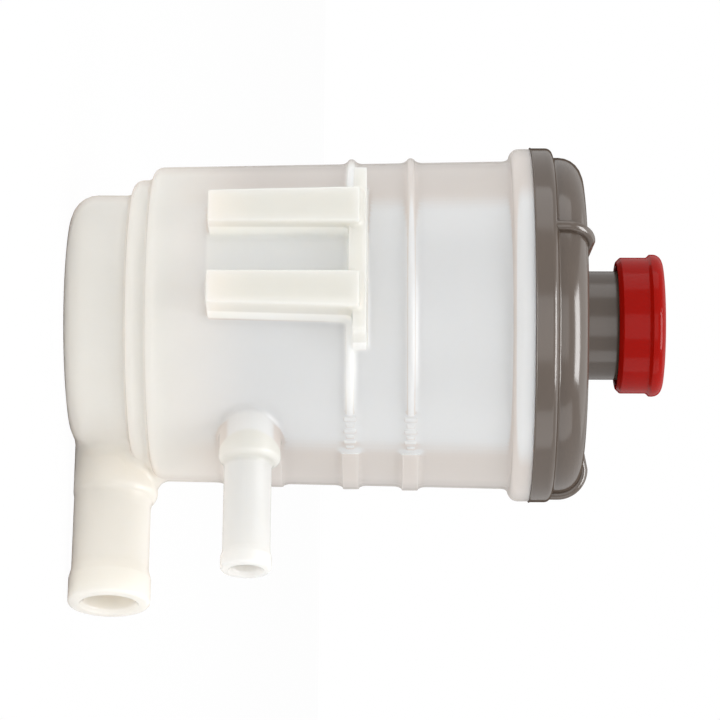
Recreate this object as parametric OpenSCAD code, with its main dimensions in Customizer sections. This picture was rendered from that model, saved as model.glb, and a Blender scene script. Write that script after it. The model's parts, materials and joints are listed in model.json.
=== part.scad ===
// Power steering fluid reservoir: a stepped translucent tank with two hose nozzles and a
// slide-in mount, a welded cover with a filler neck, and a push-on cap.
// The base rests on the XY plane, +Z runs up the tank's axis to the cap, both nozzles
// point along +X and the mounting rails face -Y.

/* [Tank] */
// Height from the base to the weld with the cover
tank_h = 111; // [105:1:125]
// Outer radius of the sump, the narrow bottom of the tank
sump_r = 31.4; // [29.5:0.1:33]
// Wall of the tank
wall = 2.5; // [2:0.1:2.8]
// Width of the lower ledge, which carries the strainer
ledge_w = 3.7; // [3.3:0.1:4.5]
// Height of the step between the two ledges
step_h = 4.9; // [4.4:0.1:6]
// Width of the upper ledge, which carries the baffle plate
upper_ledge_w = 3.1; // [2.8:0.1:4]
// Height of solid wall between the outlet's bore and the lower ledge
ledge_land = 1; // [0.6:0.1:2]
// Draft of the main wall in degrees
draft = 1.12; // [0.5:0.01:1.5]
// How far the weld flange stands out from the main wall
flange_w = 3; // [2:0.1:4]
// Thickness of the weld flange
flange_t = 5; // [3.5:0.1:6]
// Rounding of the base's outer edge
base_round = 6.2; // [3.5:0.1:7]
// Rounding of the two outer shoulders and of the flange's lower edge
shoulder_round = 2.4; // [1:0.1:2.6]
// Fillet in the inner corners of the outside steps
root_round = 0.5; // [0.2:0.1:0.6]

/* [Outlet nozzle] */
// Outer radius of the outlet tube
outlet_r = 9.3; // [8.5:0.1:10]
// Wall of the outlet tube
outlet_wall = 3; // [2.4:0.1:3.5]
// Offset of the outlet from the tank's axis, away from the rails
outlet_y = 11; // [0:0.5:12]
// Distance from the tank's axis to the outlet's end
outlet_end = 68.3; // [60:0.1:80]
// Height of the outlet tube's underside over the base
outlet_lift = 0.9; // [0.9:0.1:2]
// How far the outlet's end bead stands out from its tube
outlet_bead = 0.6; // [0.3:0.1:1]
// Length of the outlet's end bead, with its ramp
outlet_bead_len = 8.8; // [6:0.1:12]
// How far the outlet's root collar stands out from its tube
outlet_collar = 0.9; // [0.5:0.1:1.2]
// How far the outlet's root collar sits above the tube's axis
outlet_collar_rise = 0.7; // [0.4:0.1:0.8]
// Distance from the tank's axis to the outlet collar's end
outlet_collar_end = 42.5; // [40:0.1:46]
// Rounding of the outlet collar's end
outlet_collar_round = 2.6; // [1:0.1:3]

/* [Return nozzle] */
// Outer radius of the return tube
return_r = 5.6; // [5:0.1:6.5]
// Wall of the return tube
return_wall = 2.2; // [1.5:0.1:2.4]
// Offset of the return from the tank's axis, towards the rails
return_y = 16; // [10:0.5:17]
// Height of the return's axis over the base
return_z = 44; // [40:0.5:56]
// Distance from the tank's axis to the return's end
return_end = 69; // [60:0.1:80]
// How far the return's end bead stands out from its tube
return_bead = 0.4; // [0.2:0.1:0.8]
// Length of the return's end bead, with its ramp
return_bead_len = 4.7; // [4:0.1:8]
// How far the return's root collar stands out from its tube
return_collar = 1.75; // [1:0.05:2]
// How far the return's root collar sits above the tube's axis
return_collar_rise = 0.4; // [0:0.1:0.8]
// Distance from the tank's axis to the return collar's end
return_collar_end = 42.5; // [41:0.1:46]
// Rounding of the return collar's end
return_collar_round = 1.7; // [0.8:0.1:1.9]
// How far the pad behind the return collar stands out from the wall
pad_t = 0.75; // [0.4:0.05:1.2]
// Angle round the tank at which the pad behind the return collar ends
pad_end = 34; // [26:1:45]

/* [Mounting rails] */
// Width of the slot between the two rails
rail_gap = 12.4; // [8:0.1:15]
// Width of a rail at the stop plate
rail_w = 9; // [6:0.1:10]
// How much narrower a rail is at its open end
rail_taper = 0.9; // [0:0.1:1.5]
// Distance from the tank's axis to the rails' faces
rail_face = 46.5; // [45:0.1:50]
// Height of the rails' open end over the base
rail_z = 34.8; // [30:0.1:42]
// Length of the rails, up to the stop plate
rail_len = 33.8; // [25:0.1:40]
// Length of the stop plate across the tank
stop_w = 41.8; // [36:0.1:46]
// Thickness of the stop plate
stop_t = 3.1; // [2:0.1:4]
// Distance from the tank's axis to the stop plate's face
stop_face = 44.5; // [43:0.1:48]
// Width of the raised pad under the stop plate, where the bracket lands
stop_pad_w = 20; // [14:0.5:24]
// Thickness of the raised pad under the stop plate
stop_pad_t = 1; // [0.4:0.1:1.5]

/* [Level marks] */
// Height of the low level mark over the base
low_mark_z = 67.9; // [62:0.1:74]
// Distance from the low level mark up to the high one
mark_gap = 14.3; // [10:0.1:22]
// Radius of the half-round level marks
mark_r = 1.1; // [0.8:0.05:1.4]
// Angle round the tank at which the level marks start
mark_from = 45; // [40:1:60]
// Angle round the tank at which the level marks end
mark_to = 325; // [322:1:328]
// Width of the flat band that faces the level marks' ends
band_w = 4; // [3:0.1:5]
// How far the flat band stands out from the wall
band_t = 0.9; // [0.5:0.1:1.2]
// Angle round the tank at which the flat band starts
band_from = -17; // [-18:1:-12]
// Number of plain ticks between each level mark and its band
tick_n = 6; // [4:1:6]

/* [Cover] */
// Height of the cover's top face over the weld
cover_h = 12.7; // [11.5:0.1:16]
// Thickness of the cover's rim
cover_rim_t = 5.4; // [4:0.1:6]
// How far the cover's rim stands out from the tank's flange
cover_over = 0.2; // [0:0.05:0.4]
// Width of the step between the cover's rim and its crown
cover_step_w = 2.3; // [2:0.1:3]
// Rounding of the crown's shoulder
cover_round = 5; // [2:0.1:5.3]
// Rounding of the rim's upper edge
cover_rim_round = 1.6; // [0.8:0.1:1.8]
// Thickness of the cover's top
cover_wall = 2.5; // [2:0.1:3]
// Number of ribs over the crown's shoulder
rib_n = 3; // [2:1:6]
// Width of a rib
rib_w = 2.6; // [1.6:0.1:3]
// How far a rib stands out from the crown
rib_h = 1.7; // [0.8:0.1:2]
// Angle round the tank of the first rib
rib_at = -101; // [-115:1:-90]
// Distance from the axis to the ribs' inner ends
rib_reach = 25; // [20:0.5:30]

/* [Filler neck] */
// Outer radius of the filler neck
neck_r = 13.2; // [12.5:0.1:15]
// Wall of the filler neck
neck_wall = 2.4; // [2:0.1:2.8]
// Height of the neck's rim over the cover's top face
neck_h = 14.3; // [13:0.1:20]

/* [Cap] */
// Space between the neck and the cap's skirt
skirt_gap = 1.4; // [1.2:0.05:2]
// Thickness of the cap's skirt
skirt_wall = 1.96; // [1.5:0.01:2.5]
// Height of the cap
cap_h = 11.1; // [9.5:0.1:12]
// Thickness of the cap's roof
cap_roof = 2.25; // [1.6:0.05:3]
// How far the finger lip stands out from the skirt
lip_over = 0.75; // [0.4:0.05:1.5]
// Height of the finger lip's outer face
lip_h = 3; // [2.4:0.1:3.6]
// Thickness of the seal ring on the neck's rim
seal_t = 1.4; // [1:0.1:2]
// Thickness of the insert's flange
insert_t = 1.2; // [1:0.1:1.8]
// Depth of the insert's plug below the neck's rim
plug_depth = 6.5; // [5.5:0.1:8]
// Wall of the insert's plug
plug_wall = 1.5; // [1.2:0.1:2]
// Thickness of the breather disc in the plug
breather_t = 1.6; // [1:0.1:2.4]
// Radius of the vent hole in the plug's floor
vent_r = 1.2; // [0.8:0.1:1.6]

/* [Strainer and baffle] */
// Height of the strainer's frame
strainer_t = 3.2; // [2.8:0.1:3.6]
// Number of spokes in the strainer's frame
spoke_n = 12; // [10:1:14]
// Width of a spoke, and of the rings that the spokes join
spoke_w = 1.6; // [1.2:0.1:2]
// Thickness of the mesh disc
mesh_t = 0.5; // [0.3:0.1:0.8]
// Distance between two bars of the mesh
mesh_pitch = 5; // [4.8:0.1:6]
// Width of a bar of the mesh
mesh_bar = 0.8; // [0.6:0.1:1.2]
// Thickness of the baffle plate
baffle_t = 1.6; // [1.2:0.1:2.4]
// Height of the rim on the baffle plate
baffle_rim_h = 2.4; // [1.6:0.1:4]
// Radius of a hole in the baffle plate
baffle_hole_r = 1.8; // [1.4:0.1:1.9]

/* [Clearances] */
// Side clearance of the strainer, the mesh and the baffle in their seats
seat_gap = 0.3; // [0.15:0.05:0.35]
// Side clearance between the plug and the neck's bore
plug_gap = 0.5; // [0.3:0.05:0.7]
// Clearance between pieces of the cap that move past each other
play = 0.3; // [0.2:0.05:0.35]
// Clearance between the seal ring and the neck's rim
rim_gap = 0.15; // [0.1:0.05:0.2]

/* [Hidden] */
$fn = 96;

// Points on a rounded corner
ARC_STEPS = 8;
// Length by which a cutter runs past a face
past = 1;
// Least flat left between two roundings
least_flat = 0.1;
// Smallest rounding inside the tank
least_round = 0.8;
// Side clearance of a piece that is pressed in by hand
snug = 0.1;

// Outlet nozzle
outlet_z = outlet_r + outlet_lift;
outlet_bore_r = outlet_r - outlet_wall;

// Return nozzle
return_bore_r = return_r - return_wall;

// Both nozzles: rounding of their ends, the share of a bead's length that its ramp takes,
// and how far their solids reach into the tank before its inside is cut away
nozzle_lip = 0.9;
bead_ramp = 0.28;
nozzle_depth = 12.4;
nozzle_start = sump_r - nozzle_depth;

// Levels of the tank, from the base up
sump_h = outlet_z + outlet_bore_r + ledge_land - wall;
ledge_z = sump_h + wall;
step_z = sump_h + step_h;
upper_ledge_z = step_z + wall;
flange_z = tank_h - flange_t;

// Radii of the tank
step_r = sump_r + ledge_w;
body_r = step_r + upper_ledge_w;
flange_r = outer_r(flange_z) + flange_w;
shoulder_r = min(shoulder_round, upper_ledge_w - root_round - least_flat);
flange_round = min(shoulder_round, flange_w - root_round);
mouth_r = inner_r(tank_h);

// Level marks: how far a mark's centre stands off the wall, the ticks' size, and the
// angle from a mark's end and from the band to the nearest tick
mark_proud = 0.1;
tick_w = 1.2;
tick_long = 3;
tick_short = 2;
tick_t = 0.5;
tick_gap = 2.5;
tick_step = (360 + band_from - mark_to - 2 * tick_gap) / (tick_n - 1);

// Cover and neck
crown_z = tank_h + cover_h;
rim_r = flange_r + cover_over;
crown_r = rim_r - cover_step_w;
bore_r = neck_r - neck_wall;
neck_rim_z = crown_z + neck_h;
neck_round = 0.6;
under_round = 1.5;
// Size of the bead that the weld pushes out under the cover's rim
weld_bead = 0.15;

// Cap
skirt_in = neck_r + skirt_gap;
skirt_r = skirt_in + skirt_wall;
seal_z = neck_rim_z + rim_gap;
insert_z = seal_z + seal_t;
roof_z = insert_z + insert_t + play;
cap_top = roof_z + cap_roof;
cap_bottom = cap_top - cap_h;
insert_r = skirt_in - play;
// How far the shell's snap ring reaches under the insert's flange, and the ring's height
hook_grip = 0.55;
hook_h = 1;
hook_r = insert_r - hook_grip;
hook_top = insert_z - play;
plug_r = bore_r - plug_gap;
plug_bottom = neck_rim_z - plug_depth;
breather_z = plug_bottom + plug_wall;
plug_edge = 0.8;
seal_edge = 0.3;
seal_side = 0.45;
cap_chamfer = 1;
cap_lip_round = min(2.2, lip_h - least_flat);

// Strainer and baffle
strainer_r = step_r - wall - seat_gap;
mesh_z = ledge_z + spoke_w;
mesh_r = sump_r - wall + spoke_w;
frame_in = sump_r - wall + play;
frame_upper_in = mesh_r + seat_gap;
// Share of the frame's radius at which its middle ring sits
mid_share = 0.58;
frame_mid = frame_in * mid_share;
hub_r = 4.5;
baffle_r = body_r - wall - seat_gap;
// Rows of holes in the baffle plate, each given as a radius and a number of holes
baffle_rows = [[8, 6], [16, 12], [24, 18]];

// Outer radius of the main wall at a height
function outer_r(z) = body_r + (z - step_z) * tan(draft);

// Inner radius of the main wall at a height
function inner_r(z) = outer_r(z) - wall;

// Points along an arc round c, from angle a0 to angle a1
function arc(c, r, a0, a1) =
    [for (i = [0 : ARC_STEPS]) let (a = a0 + (a1 - a0) * i / ARC_STEPS)
        c + r * [cos(a), sin(a)]];

// A solid of revolution about the tank's axis
module turned(points) {
    rotate_extrude()
        polygon(points);
}

// A solid of revolution about an axis along +X at y, z
module turned_x(y, z, points) {
    translate([0, y, z])
        rotate([0, 90, 0])
            rotate_extrude()
                polygon(points);
}

// A profile swept round the tank's axis from angle a0 to angle a1
module swept(a0, a1) {
    rotate([0, 0, a0])
        rotate_extrude(angle = a1 - a0)
            children();
}

// The tank's outside, without nozzles and rails
module tank_outside() {
    turned(concat(
        [[0, 0]],
        arc([sump_r - base_round, base_round], base_round, -90, 0),
        arc([sump_r + root_round, sump_h - root_round], root_round, 180, 90),
        arc([step_r - shoulder_r, sump_h + shoulder_r], shoulder_r, -90, 0),
        arc([step_r + root_round, step_z - root_round], root_round, 180, 90),
        arc([body_r - shoulder_r, step_z + shoulder_r], shoulder_r, -90, 0),
        [[outer_r(flange_z - root_round), flange_z - root_round]],
        arc([flange_r - flange_round, flange_z + flange_round], flange_round, -90, 0),
        [[flange_r, tank_h], [0, tank_h]]));
}

// The space inside the tank
module tank_inside() {
    inner_round = max(base_round - wall, least_round);
    sump_in = sump_r - wall;
    turned(concat(
        [[0, wall]],
        arc([sump_in - inner_round, wall + inner_round], inner_round, -90, 0),
        [[sump_in, ledge_z], [step_r - wall, ledge_z],
         [step_r - wall, upper_ledge_z], [inner_r(upper_ledge_z), upper_ledge_z],
         [mouth_r, tank_h], [mouth_r, tank_h + past], [0, tank_h + past]]));
}

// A hose tube with a bead at its end, solid, out along +X
module tube(y, z, r, end, bead, bead_len) {
    ramp_end = end - bead_len * (1 - bead_ramp);
    turned_x(y, z, concat(
        [[0, nozzle_start], [r, nozzle_start], [r, end - bead_len], [r + bead, ramp_end]],
        arc([r + bead - nozzle_lip, end - nozzle_lip], nozzle_lip, 0, 90),
        [[0, end]]));
}

// The collar at a tube's root, solid, with a rounded end
module collar(y, z, r, end, round_r) {
    turned_x(y, z, concat(
        [[0, nozzle_start], [r, nozzle_start]],
        arc([r - round_r, end - round_r], round_r, 0, 90),
        [[0, end]]));
}

// The bore of a tube, flared at its mouth
module tube_bore(y, z, r, end) {
    flare = r + nozzle_lip;
    turned_x(y, z, concat(
        [[0, nozzle_start], [r, nozzle_start]],
        arc([flare, end - nozzle_lip], nozzle_lip, 180, 90),
        [[flare, end + past], [0, end + past]]));
}

// The flat pad on the wall behind the return's collar
module return_pad() {
    z0 = return_z + return_collar_rise;
    half = return_r + return_collar;
    pad_from = -asin(return_y / outer_r(z0));
    r = outer_r(z0 - half);
    swept(pad_from, pad_end)
        polygon(concat(
            [[r - wall / 2, z0 - half]],
            arc([r, z0 - half + pad_t], pad_t, -90, 0),
            arc([outer_r(z0 + half), z0 + half - pad_t], pad_t, 0, 90),
            [[r - wall / 2, z0 + half]]));
}

// One mounting rail, on the +X side
module rail() {
    inner = rail_gap / 2;
    deep = stop_root();
    translate([0, -deep, 0])
        rotate([90, 0, 0])
            linear_extrude(rail_face - deep)
                polygon([[inner, rail_z], [inner + rail_w - rail_taper, rail_z],
                    [inner + rail_w, rail_z + rail_len + stop_t / 2],
                    [inner, rail_z + rail_len + stop_t / 2]]);
}

// How deep the rails and the stop plate reach, inside the tank's wall at the plate's ends
function stop_root() = sqrt(pow(inner_r(rail_z), 2) - pow(stop_w / 2, 2));

// Both rails and the plate that stops the bracket
module mount() {
    deep = stop_root();
    stop_z = rail_z + rail_len;
    rail();
    mirror([1, 0, 0])
        rail();
    translate([-stop_w / 2, -stop_face, stop_z])
        cube([stop_w, stop_face - deep, stop_t]);
    translate([-stop_pad_w / 2, -stop_face, stop_z - stop_pad_t])
        cube([stop_pad_w, stop_face - deep, stop_pad_t + stop_t / 2]);
}

// One level mark: a half-round ring, a flat band and plain ticks
module level_mark(z) {
    r = outer_r(z);
    sunk = r - wall / 2;
    swept(mark_from, mark_to)
        polygon(concat(
            [[sunk, z - mark_r]],
            arc([r + mark_proud, z], mark_r, -90, 90),
            [[sunk, z + mark_r]]));
    swept(band_from, mark_from)
        polygon([[sunk, z - band_w / 2], [r + band_t, z - band_w / 2],
            [r + band_t, z + band_w / 2], [sunk, z + band_w / 2]]);
    for (i = [0 : tick_n - 1])
        rotate([0, 0, mark_to + tick_gap + i * tick_step])
            tick(sunk, r + tick_t, z, i % 2 == 0 ? tick_long : tick_short);
}

// One plain tick beside a level mark
module tick(r_in, r_out, z, h) {
    translate([r_in, -tick_w / 2, z - h / 2])
        cube([r_out - r_in, tick_w, h]);
}

module tank_body() {
    color([0.93, 0.92, 0.90])
        difference() {
            union() {
                tank_outside();
                tube(outlet_y, outlet_z, outlet_r, outlet_end, outlet_bead, outlet_bead_len);
                collar(outlet_y, outlet_z + outlet_collar_rise, outlet_r + outlet_collar,
                    outlet_collar_end, outlet_collar_round);
                tube(-return_y, return_z, return_r, return_end, return_bead, return_bead_len);
                collar(-return_y, return_z + return_collar_rise, return_r + return_collar,
                    return_collar_end, return_collar_round);
                return_pad();
                mount();
                level_mark(low_mark_z);
                level_mark(low_mark_z + mark_gap);
            }
            tank_inside();
            tube_bore(outlet_y, outlet_z, outlet_bore_r, outlet_end);
            tube_bore(-return_y, return_z, return_bore_r, return_end);
        }
}

// One rib up the crown's side, over its shoulder and inwards on its top, where it fades
module cover_rib() {
    c = [crown_r - cover_round, crown_z - cover_round];
    side_z = tank_h + cover_rim_t - cover_rim_round;
    sunk = cover_wall / 2;
    translate([0, rib_w / 2, 0])
        rotate([90, 0, 0])
            linear_extrude(rib_w)
                polygon(concat(
                    [[crown_r - sunk, side_z], [crown_r + rib_h, side_z]],
                    arc(c, cover_round + rib_h, 0, 90),
                    [[rib_reach, crown_z], [rib_reach, crown_z - sunk]],
                    arc(c, cover_round - sunk, 90, 0)));
}

module tank_cover() {
    under_z = crown_z - cover_wall;
    color([0.46, 0.43, 0.40])
        difference() {
            union() {
                turned(concat(
                    [[0, tank_h], [rim_r + weld_bead, tank_h]],
                    [[rim_r + weld_bead, tank_h + weld_bead], [rim_r, tank_h + 2 * weld_bead]],
                    arc([rim_r - cover_rim_round, tank_h + cover_rim_t - cover_rim_round],
                        cover_rim_round, 0, 90),
                    [[crown_r, tank_h + cover_rim_t]],
                    arc([crown_r - cover_round, crown_z - cover_round], cover_round, 0, 90),
                    arc([neck_r + neck_round, crown_z + neck_round], neck_round, 270, 180),
                    arc([neck_r - neck_round, neck_rim_z - neck_round], neck_round, 0, 90),
                    [[0, neck_rim_z]]));
                for (i = [0 : rib_n - 1])
                    rotate([0, 0, rib_at + i * 360 / rib_n])
                        cover_rib();
            }
            turned(concat(
                [[0, tank_h - past], [mouth_r, tank_h - past]],
                arc([mouth_r - under_round, under_z - under_round], under_round, 0, 90),
                [[bore_r, under_z]],
                [[bore_r, neck_rim_z - neck_round], [bore_r + neck_round, neck_rim_z],
                 [bore_r + neck_round, neck_rim_z + past], [0, neck_rim_z + past]]));
        }
}

module filler_cap() {
    color([0.70, 0.10, 0.07])
        turned(concat(
            [[0, roof_z], [skirt_in, roof_z], [skirt_in, hook_top], [hook_r, hook_top],
             [hook_r, hook_top - hook_h], [skirt_in, hook_top - hook_h - (skirt_in - hook_r)],
             [skirt_in, cap_bottom], [skirt_r - cap_chamfer, cap_bottom],
             [skirt_r, cap_bottom + cap_chamfer], [skirt_r, cap_top - lip_h - lip_over],
             [skirt_r + lip_over, cap_top - lip_h]],
            arc([skirt_r + lip_over - cap_lip_round, cap_top - cap_lip_round],
                cap_lip_round, 0, 90),
            [[0, cap_top]]));
}

module cap_insert() {
    color([0.16, 0.16, 0.17])
        turned(concat(
            [[vent_r, plug_bottom]],
            arc([plug_r - plug_edge, plug_bottom + plug_edge], plug_edge, -90, 0),
            [[plug_r, insert_z], [insert_r, insert_z],
             [insert_r, insert_z + insert_t], [plug_r - plug_wall, insert_z + insert_t],
             [plug_r - plug_wall, breather_z], [vent_r, breather_z]]));
}

module cap_seal() {
    inner = plug_r + snug;
    outer = hook_r - seal_side;
    color([0.09, 0.09, 0.09])
        turned([[inner, seal_z], [outer - seal_edge, seal_z], [outer, seal_z + seal_edge],
            [outer, insert_z - seal_edge], [outer - seal_edge, insert_z], [inner, insert_z]]);
}

module breather_disc() {
    color([0.80, 0.78, 0.70])
        translate([0, 0, breather_z])
            cylinder(r = plug_r - plug_wall - snug, h = breather_t);
}

// A ring with a square section
module ring(r_in, r_out, z, h) {
    translate([0, 0, z])
        difference() {
            cylinder(r = r_out, h = h);
            translate([0, 0, -past])
                cylinder(r = r_in, h = h + 2 * past);
        }
}

module strainer_frame() {
    color([0.20, 0.20, 0.21])
        difference() {
            union() {
                ring(frame_in, strainer_r, ledge_z, strainer_t);
                ring(frame_mid, frame_mid + spoke_w, ledge_z, spoke_w);
                translate([0, 0, ledge_z])
                    cylinder(r = hub_r, h = spoke_w);
                for (i = [0 : spoke_n - 1])
                    rotate([0, 0, i * 360 / spoke_n])
                        translate([hub_r / 2, -spoke_w / 2, ledge_z])
                            cube([frame_in + spoke_w - hub_r / 2, spoke_w, spoke_w]);
            }
            translate([0, 0, mesh_z])
                cylinder(r = frame_upper_in, h = strainer_t);
        }
}

module strainer_mesh() {
    half = floor(mesh_r / mesh_pitch);
    opening = mesh_pitch - mesh_bar;
    reach = (mesh_r - mesh_bar) / mesh_pitch;
    color([0.75, 0.75, 0.70])
        translate([0, 0, mesh_z])
            difference() {
                cylinder(r = mesh_r, h = mesh_t);
                for (i = [-half : half], j = [-half : half])
                    if (norm([abs(i) + 1 / 2, abs(j) + 1 / 2]) < reach)
                        translate([i * mesh_pitch, j * mesh_pitch, mesh_t / 2])
                            cube([opening, opening, mesh_t + 2 * past], center = true);
            }
}

module baffle_plate() {
    color([0.24, 0.24, 0.25])
        difference() {
            union() {
                translate([0, 0, upper_ledge_z])
                    cylinder(r = baffle_r, h = baffle_t);
                ring(baffle_r - spoke_w, baffle_r, upper_ledge_z, baffle_t + baffle_rim_h);
            }
            for (row = baffle_rows, i = [0 : row[1] - 1])
                rotate([0, 0, i * 360 / row[1]])
                    translate([row[0], 0, upper_ledge_z - past])
                        cylinder(r = baffle_hole_r, h = baffle_t + 2 * past);
        }
}

tank_body();
tank_cover();
filler_cap();
cap_insert();
cap_seal();
breather_disc();
strainer_frame();
strainer_mesh();
baffle_plate();
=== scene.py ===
# %% [markdown]
# A power steering reservoir
#
# The object is a translucent plastic tank for steering fluid. Two hose nozzles leave it on
# one side, two rails and a stop plate hang it on a bracket, and a grey-brown cover is welded
# on top. A red cap is pushed over the cover's filler neck. This notebook dresses the packed
# CAD model: it keeps its sizes and places, and adds softer corners, finishes and light.

# %% Load the frame
import bmesh
import bpy
import json
import math
from mathutils import Matrix, Vector


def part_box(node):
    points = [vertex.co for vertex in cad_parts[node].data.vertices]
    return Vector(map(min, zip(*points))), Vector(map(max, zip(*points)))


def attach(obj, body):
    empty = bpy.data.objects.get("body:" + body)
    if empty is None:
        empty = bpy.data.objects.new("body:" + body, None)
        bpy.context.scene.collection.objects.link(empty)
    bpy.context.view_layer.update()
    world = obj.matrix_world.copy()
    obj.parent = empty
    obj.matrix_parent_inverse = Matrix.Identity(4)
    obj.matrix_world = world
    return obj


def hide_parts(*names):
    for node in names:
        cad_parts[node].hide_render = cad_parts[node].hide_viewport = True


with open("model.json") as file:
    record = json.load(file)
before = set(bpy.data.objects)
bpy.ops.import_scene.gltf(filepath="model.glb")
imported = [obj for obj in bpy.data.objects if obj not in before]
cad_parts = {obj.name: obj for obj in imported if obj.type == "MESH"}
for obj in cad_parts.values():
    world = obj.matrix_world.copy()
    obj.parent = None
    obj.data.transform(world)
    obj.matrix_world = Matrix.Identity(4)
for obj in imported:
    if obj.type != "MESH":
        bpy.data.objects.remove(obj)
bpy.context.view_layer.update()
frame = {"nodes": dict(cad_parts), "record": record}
bpy.ops.object.select_all(action="DESELECT")
print("nodes:", ", ".join(sorted(frame["nodes"])))

# %% [markdown]
# Driving sizes
#
# Blender works in metres here, and the part was designed in millimetres, so sizes are written
# as millimetres times MM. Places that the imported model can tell, such as the weld's height
# and the nozzles' axes, are read from it. The rest repeats the part's own driving sizes.

# %% Sizes from the frame
MM = 0.001
NECK_RISE = 27.0 * MM
RIM_OVER = 0.2 * MM
WELD_BEAD = 0.15 * MM
mounts = {m["name"]: m for m in frame["record"]["mounts"]}
tank_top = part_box("tank_body")[1].z
neck_top = tank_top + NECK_RISE
cap_low, cap_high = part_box("filler_cap")
flange_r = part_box("tank_cover")[1].x - RIM_OVER - WELD_BEAD
outlet_y, outlet_z = mounts["outlet_bead"]["pos_m"][1:]
return_y, return_z = mounts["return_bead"]["pos_m"][1:]
print("weld at", round(tank_top / MM, 2), "mm, cap from", round(cap_low.z / MM, 2))

# %% Sizes of the tank
WALL = 2.5 * MM
SUMP_R = 31.4 * MM
SUMP_TOP = 15.0 * MM
LEDGE_W = 3.7 * MM
STEP_TOP = 19.9 * MM
UPPER_LEDGE_W = 3.1 * MM
DRAFT = math.radians(1.12)
FLANGE_T = 5.0 * MM
step_r = SUMP_R + LEDGE_W
body_r = step_r + UPPER_LEDGE_W
flange_z = tank_top - FLANGE_T


def wall_r(z):
    """Outer radius of the tank's main wall at height z."""
    return body_r + (z - STEP_TOP) * math.tan(DRAFT)


print("wall radius at the weld", round(wall_r(flange_z) / MM, 2), "mm")

# %% [markdown]
# A lathe
#
# Most of this object is turned: its mould was cut on a lathe. So a turned piece starts as one
# vertex, which is extruded from corner to corner of its half section. Each corner is bevelled
# to its own rounding, and the outline is spun about its axis. That keeps every rounding a
# true arc, which a subdivided cylinder would not.

# %% Helpers for edit mode
STEPS = 192
ARC = 6
EDGE_ARC = 3
TINY = 1e-6


def select_where(obj, test):
    """Selects the vertices of obj, which is in edit mode, that pass the test."""
    mesh = bmesh.from_edit_mesh(obj.data)
    for vert in mesh.verts:
        vert.select = test(vert.co)
    mesh.select_flush_mode()
    bmesh.update_edit_mesh(obj.data)


def close_up(obj):
    """Merges doubles, turns faces outwards and leaves edit mode."""
    bpy.ops.mesh.select_all(action="SELECT")
    bpy.ops.mesh.remove_doubles(threshold=10 * TINY)
    bpy.ops.mesh.select_all(action="SELECT")
    bpy.ops.mesh.normals_make_consistent(inside=False)
    bpy.ops.object.mode_set(mode="OBJECT")
    return obj


def tangent_length(before, here, after, rounding):
    """How far from a corner its rounding starts."""
    way_in = Vector(here[:2]) - Vector(before[:2])
    way_out = Vector(after[:2]) - Vector(here[:2])
    return rounding * math.tan(way_in.angle(way_out) / 2)


def outline(name, corners, centre, along, outwards):
    """An outline of (radius, height, rounding) corners, left in edit mode."""
    centre, along, outwards = Vector(centre), Vector(along), Vector(outwards)
    places = [centre + outwards * r + along * h for r, h, _ in corners]
    bpy.ops.object.select_all(action="DESELECT")
    bpy.ops.mesh.primitive_plane_add(size=MM)
    obj = bpy.context.object
    obj.name = name
    bpy.ops.object.mode_set(mode="EDIT")
    bpy.ops.mesh.select_mode(type="VERT")
    bpy.ops.mesh.merge(type="CENTER")
    bpy.ops.transform.translate(value=places[0])
    for here, there in zip(places, places[1:]):
        bpy.ops.mesh.extrude_vertices_move(TRANSFORM_OT_translate={"value": there - here})
    for i in range(1, len(corners) - 1):
        if corners[i][2]:
            select_where(obj, lambda co: (co - places[i]).length < TINY)
            size = tangent_length(*corners[i - 1:i + 2], corners[i][2])
            bpy.ops.mesh.bevel(offset=size, segments=ARC, profile=0.5, affect="VERTICES",
                               clamp_overlap=False)
    return obj


def turn(name, corners, centre=(0, 0, 0), along=(0, 0, 1), outwards=(1, 0, 0), steps=STEPS):
    """A solid turned about an axis, from the corners of its half section."""
    obj = outline(name, corners, centre, along, outwards)
    bpy.ops.mesh.select_all(action="SELECT")
    bpy.ops.mesh.spin(steps=steps, angle=2 * math.pi, center=centre, axis=along)
    return close_up(obj)


print("a full turn has", STEPS, "steps, and a rounding has", ARC)

# %% [markdown]
# Joining solids
#
# Mouldings are one solid, so the turned pieces are joined, cut and trimmed by Boolean
# modifiers, which are applied at once. The manifold solver is chosen because it is quick and
# gives a closed solid from closed solids.

# %% A helper for joining solids
SOLVER = "MANIFOLD"


def combine(obj, other, operation):
    """Joins other to obj, or cuts or trims obj by it, and removes other."""
    modifier = obj.modifiers.new(operation.lower(), "BOOLEAN")
    modifier.operation = operation
    modifier.solver = SOLVER
    modifier.object = other
    bpy.context.view_layer.objects.active = obj
    bpy.ops.object.modifier_apply(modifier=modifier.name)
    bpy.data.objects.remove(other)
    return obj


print("solids are joined by the solver", SOLVER)

# %% [markdown]
# The tank's outside
#
# The tank narrows in two steps to its sump. On the real one every step has a soft shoulder,
# and the bottom edge is the softest. The outline climbs from the middle of the base to the
# weld flange, and the last corners close it over the axis, so the spin gives a solid.

# %% Turn the tank's outside
BASE_ROUND = 6.2 * MM
SHOULDER_ROUND = 2.4 * MM
ROOT_ROUND = 0.65 * MM
MOUTH_ROUND = 0.2 * MM
tank = turn("tank", [
    (0, 0, 0),
    (SUMP_R, 0, BASE_ROUND),
    (SUMP_R, SUMP_TOP, ROOT_ROUND),
    (step_r, SUMP_TOP, SHOULDER_ROUND),
    (step_r, STEP_TOP, ROOT_ROUND),
    (body_r, STEP_TOP, SHOULDER_ROUND),
    (wall_r(flange_z), flange_z, ROOT_ROUND),
    (flange_r, flange_z, SHOULDER_ROUND),
    (flange_r, tank_top, MOUTH_ROUND),
    (0, tank_top, 0)])
print("tank outside:", len(tank.data.vertices), "vertices")

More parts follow.
